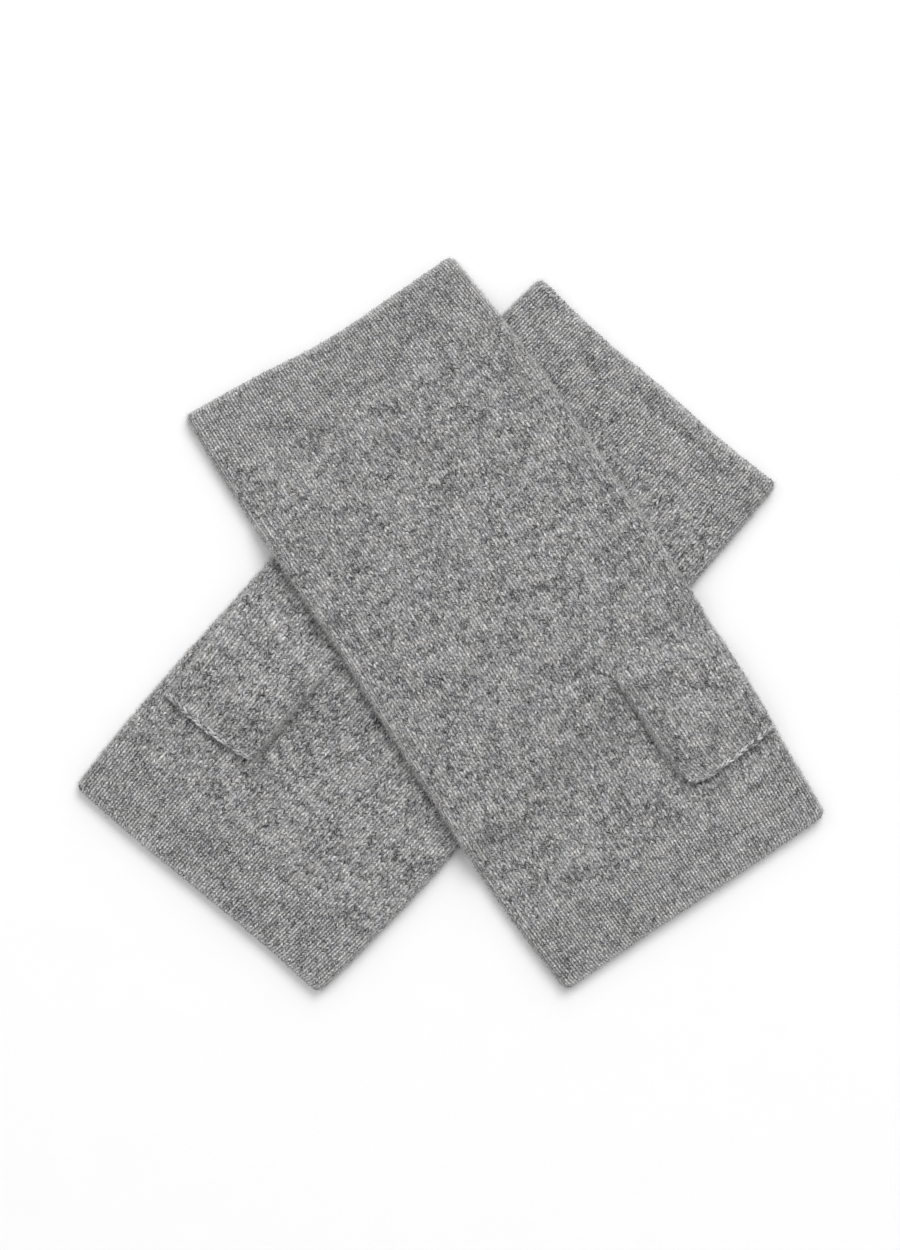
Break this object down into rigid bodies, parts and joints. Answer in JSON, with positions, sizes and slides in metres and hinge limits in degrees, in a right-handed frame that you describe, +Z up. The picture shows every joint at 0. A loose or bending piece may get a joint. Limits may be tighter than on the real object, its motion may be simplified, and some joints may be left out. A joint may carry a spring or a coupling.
{
  "type": "pair of wrist warmers",
  "caption": "Pair of fine knit wrist warmers laid flat and crossed, each an open hand tube with a short thumb tube folded on its front.",
  "frame": {"origin": "middle of the pair's footprint, on the surface that it lies on", "axes": "+Z up from the surface, +Y towards the wrist ends, +X to the right as seen from above"},
  "size_m": [0.2212, 0.2175, 0.0105],
  "materials": {
    "jersey": "soft heather grey plain knit with a light brushed nap"
  },
  "bodies": {
    "root": {"under_hand": "jersey", "under_thumb": "jersey", "top_hand": "jersey", "top_thumb": "jersey"}
  },
  "joints": []
}
